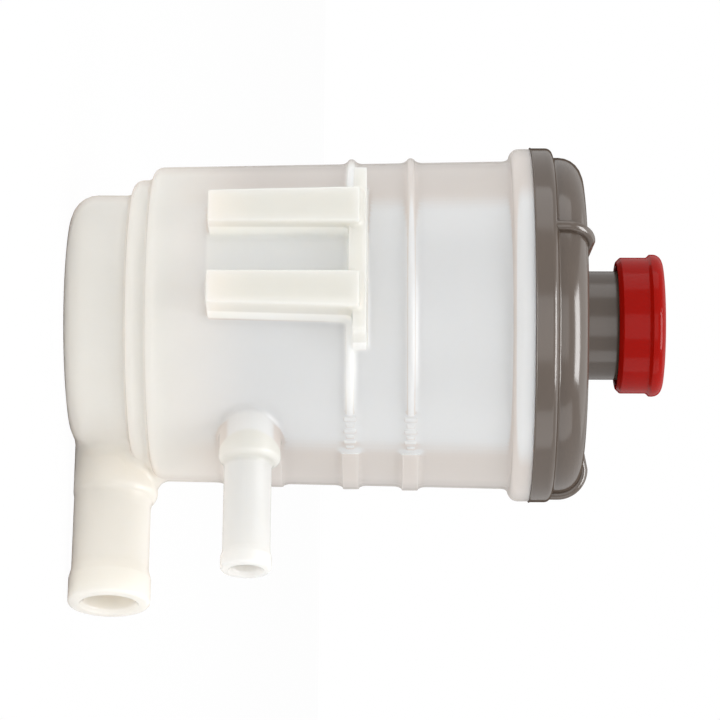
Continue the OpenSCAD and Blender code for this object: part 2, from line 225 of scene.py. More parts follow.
# %% [markdown]
# The hose nozzles
#
# Each nozzle is a tube with a low bead at its end, which holds the hose, and a thicker
# collar at its root. Both are turned about the nozzle's own axis. They start inside the tank
# and are joined to it before the tank is hollowed out, so that no seam is left.

# %% Turn and join the nozzles
OUTLET = dict(r=9.3 * MM, end=68.3 * MM, bead=0.6 * MM, bead_len=8.8 * MM, bore=6.3 * MM,
              collar=0.9 * MM, rise=0.7 * MM, collar_end=42.5 * MM, collar_round=2.6 * MM)
RETURN = dict(r=5.6 * MM, end=69.0 * MM, bead=0.4 * MM, bead_len=4.7 * MM, bore=3.4 * MM,
              collar=1.75 * MM, rise=0.4 * MM, collar_end=42.5 * MM, collar_round=1.7 * MM)
NOZZLE_START = 19.0 * MM
NOZZLE_LIP = 0.9 * MM
BEAD_RAMP = 0.28
ALONG_X = dict(along=(1, 0, 0), outwards=(0, 0, 1))


def nozzle(name, y, z, size):
    """The tube and the collar of one nozzle, as two solids."""
    r, end = size["r"], size["end"]
    bead_r = r + size["bead"]
    ramp_end = end - size["bead_len"] * (1 - BEAD_RAMP)
    tube = turn(name + "_tube", [
        (0, NOZZLE_START, 0), (r, NOZZLE_START, 0), (r, end - size["bead_len"], MM),
        (bead_r, ramp_end, MM), (bead_r, end, NOZZLE_LIP), (0, end, 0)],
        centre=(0, y, z), steps=STEPS // 2, **ALONG_X)
    collar_r = r + size["collar"]
    collar = turn(name + "_collar", [
        (0, NOZZLE_START, 0), (collar_r, NOZZLE_START, 0),
        (collar_r, size["collar_end"], size["collar_round"]), (0, size["collar_end"], 0)],
        centre=(0, y, z + size["rise"]), steps=STEPS // 2, **ALONG_X)
    return tube, collar


for name, y, z, size in (("outlet", outlet_y, outlet_z, OUTLET),
                         ("return", return_y, return_z, RETURN)):
    for solid in nozzle(name, y, z, size):
        combine(tank, solid, "UNION")
    print("joined the", name, "nozzle")

# %% [markdown]
# The pad behind the return nozzle
#
# A thin pad thickens the wall round the return's root. It follows the wall, so its section is
# spun part of the way round the tank. A filled outline is spun, so the ends are closed. The
# operator turns clockwise about its axis, so the angle is given the other way round.

# %% Sweep a section round the tank
PAD_T = 0.75 * MM
PAD_END = 34


def sweep(name, corners, start, end, step=2):
    """A solid from a closed section of (radius, height, rounding), swept from start to end."""
    start, end = math.radians(start), math.radians(end)
    steps = max(2, round(math.degrees(end - start) / step))
    obj = outline(name, corners + [corners[0]], (0, 0, 0), (0, 0, 1),
                  (math.cos(start), math.sin(start), 0))
    bpy.ops.mesh.select_all(action="SELECT")
    bpy.ops.mesh.remove_doubles(threshold=TINY)
    bpy.ops.mesh.edge_face_add()
    bpy.ops.mesh.spin(steps=steps, angle=start - end, center=(0, 0, 0), axis=(0, 0, 1))
    return close_up(obj)


pad_z = return_z + RETURN["rise"]
pad_half = RETURN["r"] + RETURN["collar"]
pad_start = -math.degrees(math.asin(-return_y / wall_r(pad_z)))
pad = sweep("pad", [
    (wall_r(pad_z) - WALL / 2, pad_z - pad_half, 0),
    (wall_r(pad_z - pad_half) + PAD_T, pad_z - pad_half, PAD_T),
    (wall_r(pad_z + pad_half) + PAD_T, pad_z + pad_half, PAD_T),
    (wall_r(pad_z) - WALL / 2, pad_z + pad_half, 0)], pad_start, PAD_END)
combine(tank, pad, "UNION")
print("pad from", round(pad_start), "to", PAD_END, "degrees")

# %% [markdown]
# The level marks
#
# Two half-round rings show the lowest and the highest level. Each stops before a row of plain
# ticks, and a flat band carries on to the other side. The ring's section is swept round the
# wall. Its two roundings almost meet, because a moulded mark has a soft round face.

# %% Sizes of the level marks
MARK_Z = (67.9 * MM, 82.2 * MM)
MARK_R = 1.1 * MM
MARK_PROUD = 0.1 * MM
MARK_ROUND = 0.999 * MARK_R
MARK_ENDS = (45, 325)
BAND_W = 4.0 * MM
BAND_T = 0.9 * MM
BAND_START = -17
TICKS = 6
TICK_GAP = 2.5
TICK_T = 0.5 * MM
TICK_W = 1.2 * MM
TICK_H = (3.0 * MM, 2.0 * MM)
EDGE = 0.25 * MM
tick_room = 360 + BAND_START - MARK_ENDS[1] - 2 * TICK_GAP
tick_step = tick_room / (TICKS - 1)
print("ticks every", round(tick_step, 2), "degrees")


# %% A box with rounded edges
def box_between(name, low, high, edge):
    """A box from corner low to corner high with its edges rounded, left in edit mode."""
    low, high = Vector(low), Vector(high)
    bpy.ops.object.select_all(action="DESELECT")
    bpy.ops.mesh.primitive_cube_add(size=1)
    obj = bpy.context.object
    obj.name = name
    bpy.ops.object.mode_set(mode="EDIT")
    bpy.ops.transform.resize(value=high - low)
    bpy.ops.transform.translate(value=(low + high) / 2)
    if edge:
        bpy.ops.mesh.bevel(offset=edge, segments=EDGE_ARC, affect="EDGES",
                           clamp_overlap=True)
    return obj


# %% Sweep and join the level marks
def mark(z):
    """The ring, the band and the ticks of one level mark, as solids."""
    r = wall_r(z)
    inside = r - WALL / 2
    yield sweep("mark", [
        (inside, z - MARK_R, 0), (r + MARK_PROUD + MARK_R, z - MARK_R, MARK_ROUND),
        (r + MARK_PROUD + MARK_R, z + MARK_R, MARK_ROUND), (inside, z + MARK_R, 0)],
        *MARK_ENDS)
    yield sweep("band", [
        (inside, z - BAND_W / 2, 0), (r + BAND_T, z - BAND_W / 2, EDGE),
        (r + BAND_T, z + BAND_W / 2, EDGE), (inside, z + BAND_W / 2, 0)],
        BAND_START, MARK_ENDS[0])
    for i in range(TICKS):
        half = TICK_H[i % 2] / 2
        tick = box_between("tick", (inside, -TICK_W / 2, z - half),
                           (r + TICK_T, TICK_W / 2, z + half), EDGE)
        turned = Matrix.Rotation(math.radians(MARK_ENDS[1] + TICK_GAP + i * tick_step), 4, "Z")
        bpy.ops.object.mode_set(mode="OBJECT")
        tick.data.transform(turned)
        yield tick


for z in MARK_Z:
    for solid in mark(z):
        combine(tank, solid, "UNION")
print("level marks at", [round(z / MM, 1) for z in MARK_Z], "mm")

# %% [markdown]
# The mounting rails
#
# Two bars and a plate across their upper ends take the tongue of a bracket. They are plain
# boxes in the mould with softened edges, so each starts as a cube. The bars narrow towards
# their open lower ends, which lets the part leave the mould.

# %% Sizes of the rails and the stop plate
RAIL_GAP = 12.4 * MM
RAIL_W = 9.0 * MM
RAIL_TAPER = 0.9 * MM
RAIL_FACE = 46.5 * MM
RAIL_Z = 34.8 * MM
RAIL_LEN = 33.8 * MM
STOP_W = 41.8 * MM
STOP_T = 3.1 * MM
STOP_FACE = 44.5 * MM
STOP_PAD_W = 20.0 * MM
STOP_ROUND = 1.5 * MM
STOP_PAD_T = 1.0 * MM
STOP_PAD_ROUND = 0.8 * MM
MOUNT_EDGE = 0.5 * MM
stop_z = RAIL_Z + RAIL_LEN
mount_root = math.sqrt((wall_r(RAIL_Z) - WALL) ** 2 - (STOP_W / 2) ** 2)
print("slot", round(RAIL_GAP / MM, 1), "mm wide and", round(RAIL_LEN / MM, 1), "mm long")


# %% Model and join the rails
def rail(side):
    """One rail, narrower at its lower end. side is 1 towards +X and -1 towards -X."""
    inner, outer = side * RAIL_GAP / 2, side * (RAIL_GAP / 2 + RAIL_W)
    obj = box_between("rail", (min(inner, outer), -RAIL_FACE, RAIL_Z),
                      (max(inner, outer), -mount_root, stop_z + STOP_T / 2), 0)
    select_where(obj, lambda co: co.z < RAIL_Z + TINY and co.x * side > RAIL_GAP / 2 + TINY)
    bpy.ops.transform.translate(value=(-side * RAIL_TAPER, 0, 0))
    bpy.ops.mesh.select_all(action="SELECT")
    bpy.ops.mesh.bevel(offset=MOUNT_EDGE, segments=EDGE_ARC, affect="EDGES")
    return close_up(obj)


combine(tank, rail(1), "UNION")
combine(tank, rail(-1), "UNION")
print("rails from", round(RAIL_Z / MM, 1), "to", round(stop_z / MM, 1), "mm")


# %% Model and join the stop plate
def plate(width, low, high, corner):
    """A plate across the rails, with its front corner towards +X rounded."""
    obj = box_between("stop", (-width / 2, -STOP_FACE, low), (width / 2, -mount_root, high), 0)
    bpy.ops.mesh.select_mode(type="EDGE")
    mesh = bmesh.from_edit_mesh(obj.data)
    for edge in mesh.edges:
        here, there = (v.co for v in edge.verts)
        in_front = max(here.y, there.y) < -STOP_FACE + TINY
        upright = abs(here.z - there.z) > TINY
        edge.select = in_front and upright and here.x > 0
    bmesh.update_edit_mesh(obj.data)
    bpy.ops.mesh.bevel(offset=corner, segments=ARC, affect="EDGES")
    return close_up(obj)


combine(tank, plate(STOP_W, stop_z, stop_z + STOP_T, STOP_ROUND), "UNION")
combine(tank, plate(STOP_PAD_W, stop_z - STOP_PAD_T, stop_z + STOP_T / 2, STOP_PAD_ROUND),
        "UNION")
print("stop plate from", round(stop_z / MM, 1), "to", round((stop_z + STOP_T) / MM, 1), "mm")

# %% [markdown]
# Soft inner corners
#
# A mould for this plastic has a radius in every inner corner, and the widest one is at the
# outlet's root. Bevels can't follow these crossing curves. So a copy is remeshed, smoothed and
# joined back on: smoothing pulls its outer corners in, where they stay hidden, and fills its
# inner corners. A second copy of the outlet's root is smoothed more.

# %% Fill the inner corners
ROOT_REACH = (12.0 * MM, 50.0 * MM)
ROOT_SPREAD = 7.0 * MM
ROOT_SOFT = dict(voxel=0.6 * MM, passes=120)
CORNER_SOFT = dict(voxel=0.5 * MM, passes=18)
PASS_SHARE = 0.5


def soft_copy(obj, voxel, passes, region=None):
    """A remeshed and smoothed copy of obj, or of its part inside region."""
    bpy.ops.object.select_all(action="DESELECT")
    obj.select_set(True)
    bpy.context.view_layer.objects.active = obj
    bpy.ops.object.duplicate()
    copy = bpy.context.object
    if region:
        combine(copy, region, "INTERSECT")
    remesh = copy.modifiers.new("remesh", "REMESH")
    remesh.mode = "VOXEL"
    remesh.voxel_size = voxel
    smooth = copy.modifiers.new("smooth", "SMOOTH")
    smooth.factor = PASS_SHARE
    smooth.iterations = passes
    for modifier in (remesh, smooth):
        bpy.ops.object.modifier_apply(modifier=modifier.name)
    return copy


root_r = OUTLET["r"] + ROOT_SPREAD
around_root = turn("around_root", [
    (0, ROOT_REACH[0], 0), (root_r, ROOT_REACH[0], 0), (root_r, ROOT_REACH[1], 0),
    (0, ROOT_REACH[1], 0)], centre=(0, outlet_y, outlet_z), steps=STEPS // 2, **ALONG_X)
outlet_root = soft_copy(tank, region=around_root, **ROOT_SOFT)
all_corners = soft_copy(tank, **CORNER_SOFT)
for copy in (all_corners, outlet_root):
    combine(tank, copy, "UNION")
print("softened tank:", len(tank.data.polygons), "faces")

# %% [markdown]
# Hollow out the tank
#
# The inside follows the outside at one wall's distance and leaves two ledges, which carry
# the strainer and the baffle plate. The bores flare at the nozzles' ends.

# %% Cut the inside and the bores
MOUTH_OVER = 1.0 * MM
FLARE_ROUND = 0.7 * MM
ledge_z = SUMP_TOP + WALL
upper_ledge_z = STEP_TOP + WALL
inside = turn("inside", [
    (0, WALL, 0),
    (SUMP_R - WALL, WALL, BASE_ROUND - WALL),
    (SUMP_R - WALL, ledge_z, 0),
    (step_r - WALL, ledge_z, 0),
    (step_r - WALL, upper_ledge_z, 0),
    (wall_r(upper_ledge_z) - WALL, upper_ledge_z, 0),
    (wall_r(tank_top) - WALL, tank_top, 0),
    (wall_r(tank_top) - WALL, tank_top + MOUTH_OVER, 0),
    (0, tank_top + MOUTH_OVER, 0)])
combine(tank, inside, "DIFFERENCE")
for y, z, size in ((outlet_y, outlet_z, OUTLET), (return_y, return_z, RETURN)):
    bore, end = size["bore"], size["end"]
    flare = bore + NOZZLE_LIP
    cutter = turn("bore", [
        (0, NOZZLE_START, 0), (bore, NOZZLE_START, 0), (bore, end - NOZZLE_LIP, FLARE_ROUND),
        (flare, end, 0), (flare, end + MOUTH_OVER, 0), (0, end + MOUTH_OVER, 0)],
        centre=(0, y, z), steps=STEPS // 2, **ALONG_X)
    combine(tank, cutter, "DIFFERENCE")
print("hollow tank:", len(tank.data.polygons), "faces")

# %% [markdown]
# The cover
#
# The cover is one moulding with the filler neck. Its rim overhangs the crown by a step, and
# the weld pushes a small bead out under the rim. It is turned as one closed section, with
# its hollow underside, and three ribs are joined to it afterwards.

# %% Turn the cover
COVER_H = 12.7 * MM
RIM_T = 5.4 * MM
COVER_STEP = 2.3 * MM
CROWN_ROUND = 5.7 * MM
RIM_ROUND = 1.6 * MM
COVER_WALL = 2.5 * MM
WELD_ROUND = 0.12 * MM
RIM_FOOT_ROUND = 0.2 * MM
CROWN_FOOT_ROUND = 0.7 * MM
UNDER_ROUND = 1.5 * MM
NECK_R = 13.2 * MM
NECK_WALL = 2.4 * MM
NECK_ROUND = 0.6 * MM
crown_z = tank_top + COVER_H
rim_r = flange_r + RIM_OVER
crown_r = rim_r - COVER_STEP
under_z = crown_z - COVER_WALL
bore_r = NECK_R - NECK_WALL
mouth_r = wall_r(tank_top) - WALL
cover = turn("cover", [
    (mouth_r, tank_top, 0),
    (rim_r + WELD_BEAD, tank_top, WELD_ROUND),
    (rim_r + WELD_BEAD, tank_top + WELD_BEAD, WELD_ROUND),
    (rim_r, tank_top + 2 * WELD_BEAD, RIM_FOOT_ROUND),
    (rim_r, tank_top + RIM_T, RIM_ROUND),
    (crown_r, tank_top + RIM_T, CROWN_FOOT_ROUND),
    (crown_r, crown_z, CROWN_ROUND),
    (NECK_R, crown_z, NECK_ROUND),
    (NECK_R, neck_top, NECK_ROUND),
    (bore_r, neck_top, NECK_ROUND),
    (bore_r, under_z, 0),
    (mouth_r, under_z, UNDER_ROUND),
    (mouth_r, tank_top, 0)])
print("cover:", len(cover.data.vertices), "vertices")

# %% [markdown]
# The cover's ribs
#
# Three ribs run up the crown's side, bend over its shoulder and fade into its top. Their
# section is round, so a circle is extruded up the side, spun about the shoulder's centre and
# extruded inwards, where it sinks into the top.

# %% Model one rib and copy it
RIB_COUNT = 3
RIB_START = -101
RIB_R = 1.3 * MM
RIB_PROUD = 1.7 * MM
RIB_REACH = 25.0 * MM
RIB_SINK = 0.3 * MM
RIB_SIDES = 24
RIB_BEND_STEPS = 16


def rib():
    """One rib in the XZ plane, on the +X side."""
    line_r = CROWN_ROUND + RIB_PROUD - RIB_R
    bend = Vector((crown_r - CROWN_ROUND, 0, crown_z - CROWN_ROUND))
    foot = tank_top + RIM_T - RIM_ROUND
    bpy.ops.object.select_all(action="DESELECT")
    bpy.ops.mesh.primitive_circle_add(vertices=RIB_SIDES, radius=RIB_R, fill_type="NGON")
    obj = bpy.context.object
    obj.name = "rib"
    bpy.ops.object.mode_set(mode="EDIT")
    bpy.ops.transform.translate(value=(bend.x + line_r, 0, foot))
    bpy.ops.mesh.extrude_region_move(TRANSFORM_OT_translate={"value": (0, 0, bend.z - foot)})
    bpy.ops.mesh.spin(steps=RIB_BEND_STEPS, angle=math.pi / 2, center=bend, axis=(0, 1, 0))
    inwards = Vector((RIB_REACH - bend.x, 0, -RIB_PROUD - RIB_SINK))
    bpy.ops.mesh.extrude_region_move(TRANSFORM_OT_translate={"value": inwards})
    return close_up(obj)


for i in range(RIB_COUNT):
    solid = rib()
    turned = Matrix.Rotation(math.radians(RIB_START + i * 360 / RIB_COUNT), 4, "Z")
    solid.data.transform(turned)
    combine(cover, solid, "UNION")
print("cover with ribs:", len(cover.data.polygons), "faces")

# %% [markdown]
# The cap
#
# The red cap is a shell with a smooth skirt, a chamfer at its lower edge and a finger lip
# round its top. Inside, a snap ring holds the black insert. It is turned as one section.

# %% Turn the cap
SKIRT_GAP = 1.4 * MM
SKIRT_WALL = 1.96 * MM
CAP_ROOF = 2.25 * MM
LIP_OVER = 0.75 * MM
LIP_H = 3.0 * MM
LIP_ROUND = 2.2 * MM
CAP_CHAMFER = 1.0 * MM
HOOK_GRIP = 0.85 * MM
HOOK_H = 1.0 * MM
HOOK_BELOW_ROOF = 1.8 * MM
INNER_ROUND = 0.1 * MM
FOOT_ROUND = 0.2 * MM
HOOK_ROUND = 0.3 * MM
SKIRT_ROUND = 0.5 * MM
skirt_in = NECK_R + SKIRT_GAP
skirt_r = skirt_in + SKIRT_WALL
hook_r = skirt_in - HOOK_GRIP
roof_z = cap_high.z - CAP_ROOF
hook_z = roof_z - HOOK_BELOW_ROOF
cap = turn("cap", [
    (0, roof_z, 0),
    (skirt_in, roof_z, INNER_ROUND),
    (skirt_in, hook_z, INNER_ROUND),
    (hook_r, hook_z, INNER_ROUND),
    (hook_r, hook_z - HOOK_H, HOOK_ROUND),
    (skirt_in, hook_z - HOOK_H - HOOK_GRIP, HOOK_ROUND),
    (skirt_in, cap_low.z, FOOT_ROUND),
    (skirt_r - CAP_CHAMFER, cap_low.z, FOOT_ROUND),
    (skirt_r, cap_low.z + CAP_CHAMFER, SKIRT_ROUND),
    (skirt_r, cap_high.z - LIP_H - LIP_OVER, SKIRT_ROUND),
    (skirt_r + LIP_OVER, cap_high.z - LIP_H, HOOK_ROUND),
    (skirt_r + LIP_OVER, cap_high.z, LIP_ROUND),
    (0, cap_high.z, 0)], steps=STEPS // 2)
print("cap from", round(cap_low.z / MM, 1), "to", round(cap_high.z / MM, 1), "mm")

# %% [markdown]
# Shared surface effects
#
# Moulded plastic is never one flat colour. Its tone drifts softly, its gloss changes from
# place to place, and a fine grain breaks up reflections. Node groups make these effects once,
# and each material gives them its own values.

# %% Helpers for node groups
def new_group(name, inputs, outputs):
    """An empty shader node group with float or colour sockets."""
    group = bpy.data.node_groups.new(name, "ShaderNodeTree")
    for socket, kind, value in inputs:
        made = group.interface.new_socket(socket, in_out="INPUT", socket_type=kind)
        made.default_value = value
    for socket, kind in outputs:
        group.interface.new_socket(socket, in_out="OUTPUT", socket_type=kind)
    return group, group.nodes.new("NodeGroupInput"), group.nodes.new("NodeGroupOutput")


def add(tree, kind, links=(), **values):
    """A node with its values set, and its inputs linked as (socket, source)."""
    node = tree.nodes.new(kind)
    for key, value in values.items():
        setattr(node, key, value)
    for socket, source in links:
        if isinstance(source, bpy.types.NodeSocket):
            tree.links.new(source, node.inputs[socket])
        else:
            node.inputs[socket].default_value = source
    return node


FLOAT, COLOR = "NodeSocketFloat", "NodeSocketColor"
print("node group sockets:", FLOAT, COLOR)

# %% [markdown]
# The drift of tone and gloss
#
# Plastic cools unevenly in its mould, so its colour and its gloss drift over centimetres.
# Soft clouds of noise mix a light and a dark tone, and the same clouds set the roughness.

# %% The group for tone and gloss
tone_group, tone_in, tone_out = new_group(
    "SoftTone",
    [("Light", COLOR, (1, 1, 1, 1)), ("Dark", COLOR, (0.8, 0.8, 0.8, 1)),
     ("Scale", FLOAT, 30.0), ("Stretch", FLOAT, 1.0), ("Roughness low", FLOAT, 0.3),
     ("Roughness high", FLOAT, 0.4)],
    [("Color", COLOR), ("Roughness", FLOAT)])
coords = add(tone_group, "ShaderNodeTexCoord")
stretch = add(tone_group, "ShaderNodeCombineXYZ", [
    ("X", 1.0), ("Y", 1.0), ("Z", tone_in.outputs["Stretch"])])
placed = add(tone_group, "ShaderNodeVectorMath", [
    (0, coords.outputs["Object"]), (1, stretch.outputs[0])], operation="MULTIPLY")
clouds = add(tone_group, "ShaderNodeTexNoise", [
    ("Vector", placed.outputs[0]), ("Scale", tone_in.outputs["Scale"]), ("Detail", 3.0),
    ("Roughness", 0.5)])
soft = add(tone_group, "ShaderNodeMapRange", [
    ("Value", clouds.outputs["Fac"]), ("From Min", 0.35), ("From Max", 0.65)],
    interpolation_type="SMOOTHSTEP")
mixed = add(tone_group, "ShaderNodeMix", [
    ("Factor", soft.outputs[0]), (6, tone_in.outputs["Dark"]), (7, tone_in.outputs["Light"])],
    data_type="RGBA")
gloss = add(tone_group, "ShaderNodeMapRange", [
    ("Value", soft.outputs[0]), ("To Min", tone_in.outputs["Roughness low"]),
    ("To Max", tone_in.outputs["Roughness high"])])
tone_group.links.new(mixed.outputs[2], tone_out.inputs["Color"])
tone_group.links.new(gloss.outputs[0], tone_out.inputs["Roughness"])
print(tone_group.name, len(tone_group.nodes), "nodes")

# %% [markdown]
# The grain of the mould
#
# The mould's steel leaves a fine grain, and the plastic shrinks in low waves. Both only shift
# reflections, so one height is mixed from a fine and a coarse noise for the bump.

# %% The group for the grain
grain_group, grain_in, grain_out = new_group(
    "MouldGrain",
    [("Grain size", FLOAT, 1500.0), ("Wave size", FLOAT, 120.0), ("Wave share", FLOAT, 0.5)],
    [("Height", FLOAT)])
coords = add(grain_group, "ShaderNodeTexCoord")
fine = add(grain_group, "ShaderNodeTexNoise", [
    ("Vector", coords.outputs["Object"]), ("Scale", grain_in.outputs["Grain size"]),
    ("Detail", 2.0)])
waves = add(grain_group, "ShaderNodeTexNoise", [
    ("Vector", coords.outputs["Object"]), ("Scale", grain_in.outputs["Wave size"]),
    ("Detail", 1.0)])
both = add(grain_group, "ShaderNodeMix", [
    ("Factor", grain_in.outputs["Wave share"]), ("A", fine.outputs["Fac"]),
    ("B", waves.outputs["Fac"])])
grain_group.links.new(both.outputs[0], grain_out.inputs["Height"])
print(grain_group.name, len(grain_group.nodes), "nodes")

# %% [markdown]
# The zones of the tank
#
# The milky plastic gets a different tone where it is thick, where it is solid, in a tube and in
# the slot behind the rails, and the tubes' and the slot's tones and part of the thick one are
# painted light. This group only makes masks, from the place on the piece. Each mask fades over
# a soft edge, so that two tones don't meet in a hard line.

# %% Helpers for soft masks
def ramp(tree, value, start, full):
    """A soft mask: 0 where value is at start, and 1 where it is at full."""
    return add(tree, "ShaderNodeMapRange", [
        ("Value", value), ("From Min", start), ("From Max", full)],
        interpolation_type="SMOOTHSTEP").outputs[0]


def times(tree, *masks):
    """The product of several masks."""
    result = masks[0]
    for mask in masks[1:]:
        result = add(tree, "ShaderNodeMath", [(0, result), (1, mask)],
                     operation="MULTIPLY").outputs[0]
    return result


# %% The group for the tank's zones
FRONT_FADE = (-20 * MM, -30 * MM)
zone_group, zone_in, zone_out = new_group(
    "ThickZone",
    [("Low full", FLOAT, 0.02), ("Low end", FLOAT, 0.04), ("Far start", FLOAT, 0.043),
     ("Far full", FLOAT, 0.044), ("Slot half", FLOAT, 0.006), ("Wall radius", FLOAT, 0.039),
     ("Mount low", FLOAT, 0.033), ("Mount high", FLOAT, 0.073), ("Edge", FLOAT, 0.001)],
    [("Low", FLOAT), ("Far", FLOAT), ("Tube", FLOAT), ("Between", FLOAT)])
coords = add(zone_group, "ShaderNodeTexCoord").outputs["Object"]
place = add(zone_group, "ShaderNodeSeparateXYZ", [("Vector", coords)]).outputs
flat = add(zone_group, "ShaderNodeVectorMath", [(0, coords), (1, (1, 1, 0))],
           operation="MULTIPLY")
radius = add(zone_group, "ShaderNodeVectorMath", [(0, flat.outputs[0])],
             operation="LENGTH").outputs["Value"]
aside = add(zone_group, "ShaderNodeMath", [(0, place["X"])], operation="ABSOLUTE").outputs[0]
edge = zone_in.outputs["Edge"]


def past(start):
    """The value one soft edge after start."""
    return add(zone_group, "ShaderNodeMath", [(0, start), (1, edge)]).outputs[0]


slot_half, wall_radius = zone_in.outputs["Slot half"], zone_in.outputs["Wall radius"]
mount_low, mount_high = zone_in.outputs["Mount low"], zone_in.outputs["Mount high"]
in_slot = ramp(zone_group, aside, past(slot_half), slot_half)
proud = ramp(zone_group, radius, wall_radius, past(wall_radius))
near = add(zone_group, "ShaderNodeMath", [(0, in_slot), (1, proud)], operation="MAXIMUM")
in_front = ramp(zone_group, place["Y"], *FRONT_FADE)
# Between places the painted light in the slot, Tube that on the tubes, Low the lower part's warm
# tint with its painted light, and Far the rails' yellow
masks = {
    "Low": ramp(zone_group, place["Z"], zone_in.outputs["Low end"], zone_in.outputs["Low full"]),
    "Far": ramp(zone_group, radius, zone_in.outputs["Far start"], zone_in.outputs["Far full"]),
    "Tube": ramp(zone_group, place["X"], zone_in.outputs["Far start"],
                 zone_in.outputs["Far full"]),
    "Between": times(zone_group, near.outputs[0], in_front,
                     ramp(zone_group, place["Z"], mount_low, past(mount_low)),
                     ramp(zone_group, place["Z"], past(mount_high), mount_high))}
for name, mask in masks.items():
    zone_group.links.new(mask, zone_out.inputs[name])
print(zone_group.name, len(zone_group.nodes), "nodes")

# %% [markdown]
# A plastic from the groups
#
# Every plastic here is a Principled BSDF. The tone group feeds its colour and gloss, and the
# grain group its bump. What is the same all over, such as the light that sinks into the
# milky tank, is set on the shader itself. A real edge against a white room would mirror the
# white and vanish, but in the photograph the edges stay dark, so the mirror share fades
# where the surface is seen at a slant.

# %% A helper for plastics
MIRROR_FADE = (0.35, 0.85)


def plastic(name, light, dark, rough, scale=30.0, stretch=1.0, grain=1500.0, wave=120.0,
            wave_share=0.5, bump=0.02 * MM, mirror_share=0.5, **shader_values):
    """A moulded plastic. light and dark are its tones, rough its lowest and highest roughness."""
    material = bpy.data.materials.new(name)
    material.use_nodes = True
    tree = material.node_tree
    shader = tree.nodes["Principled BSDF"]
    tone = add(tree, "ShaderNodeGroup", node_tree=tone_group)
    for socket, value in (("Light", (*light, 1)), ("Dark", (*dark, 1)), ("Scale", scale),
                          ("Stretch", stretch), ("Roughness low", rough[0]),
                          ("Roughness high", rough[1])):
        tone.inputs[socket].default_value = value
    surface = add(tree, "ShaderNodeGroup", node_tree=grain_group)
    for socket, value in (("Grain size", grain), ("Wave size", wave),
                          ("Wave share", wave_share)):
        surface.inputs[socket].default_value = value
    relief = add(tree, "ShaderNodeBump", [
        ("Height", surface.outputs["Height"]), ("Distance", bump), ("Strength", 1.0)])
    tree.links.new(tone.outputs["Color"], shader.inputs["Base Color"])
    tree.links.new(tone.outputs["Roughness"], shader.inputs["Roughness"])
    tree.links.new(relief.outputs["Normal"], shader.inputs["Normal"])
    facing = add(tree, "ShaderNodeLayerWeight", [("Blend", 0.5)])
    mirror = add(tree, "ShaderNodeMapRange", [
        ("Value", facing.outputs["Facing"]), ("From Min", MIRROR_FADE[0]),
        ("From Max", MIRROR_FADE[1]), ("To Min", mirror_share), ("To Max", 0.0)])
    tree.links.new(mirror.outputs[0], shader.inputs["Specular IOR Level"])
    for socket, value in shader_values.items():
        shader.inputs[socket.replace("_", " ")].default_value = value
    return material


# %% The plastics, the rubber, the felt and the mesh
milky = plastic("milky_plastic", (0.735, 0.735, 0.73), (0.715, 0.715, 0.71), (0.30, 0.42),
                scale=18.0, stretch=0.4, bump=0.015 * MM, IOR=1.49, Subsurface_Weight=0.9,
                Subsurface_Radius=(1.0, 0.95, 0.9), Subsurface_Scale=6.5 * MM)
grey = plastic("cover_plastic", (0.112, 0.086, 0.068), (0.104, 0.080, 0.064), (0.13, 0.20),
               scale=40.0, bump=0.01 * MM, IOR=1.5)
red = plastic("cap_plastic", (0.375, 0.004, 0.0008), (0.35, 0.0032, 0.0006), (0.10, 0.18),
              scale=60.0, bump=0.01 * MM, IOR=1.5, mirror_share=0.1)
black = plastic("insert_plastic", (0.035, 0.035, 0.036), (0.025, 0.025, 0.026), (0.4, 0.55))
rubber = plastic("seal_rubber", (0.025, 0.025, 0.025), (0.015, 0.015, 0.015), (0.6, 0.8))
felt = plastic("breather_felt", (0.62, 0.58, 0.48), (0.42, 0.39, 0.32), (0.9, 1.0),
               scale=900.0, grain=3000.0, bump=0.2 * MM)
nylon = plastic("strainer_plastic", (0.58, 0.56, 0.52), (0.48, 0.46, 0.42), (0.35, 0.5))
weave = plastic("mesh_nylon", (0.66, 0.64, 0.58), (0.45, 0.43, 0.38), (0.5, 0.7),
                scale=2500.0, bump=0.05 * MM)
print("materials:", ", ".join(material.name for material in bpy.data.materials))

# %% [markdown]
# Tones and painted light on the milky plastic
#
# The thick lower part has a warm tint of its own, and its tone is also brighter than the
# wall's: painted light that lifts the shade near the floor and round the outlet. Where the
# wall is seen at a slant, a darker, warmer tone is painted shade. The solid rails are a little
# yellow. The slot behind the rails gets light through them, so its tone is painted paler, and
# so is that of the thin tubes: painted light that lifts the shade there. At the very edge of
# the wall less light comes back, and this is painted as shade. The tones are mixed by place
# and by the angle of view, from the plain one of the wall.

# %% Where the tones and the painted light of the tank change
LOW_FADE = 2.4
FAR_EDGE = (0.1 * MM, MM)
SLOT_START = RAIL_Z - MM
tree = milky.node_tree
shader = tree.nodes["Principled BSDF"]
tone = shader.inputs["Base Color"].links[0].from_socket
zone = add(tree, "ShaderNodeGroup", node_tree=zone_group)
for socket, value in (("Low full", STEP_TOP), ("Low end", LOW_FADE * STEP_TOP),
                      ("Far start", flange_r + FAR_EDGE[0]),
                      ("Far full", flange_r + FAR_EDGE[1]),
                      ("Slot half", RAIL_GAP / 2), ("Wall radius", wall_r(stop_z)),
                      ("Mount low", SLOT_START), ("Mount high", stop_z + STOP_T)):
    zone.inputs[socket].default_value = value
print("low tone below", round(STEP_TOP / MM, 1), "mm, solid tone beyond",
      round(flange_r / MM, 1), "mm")
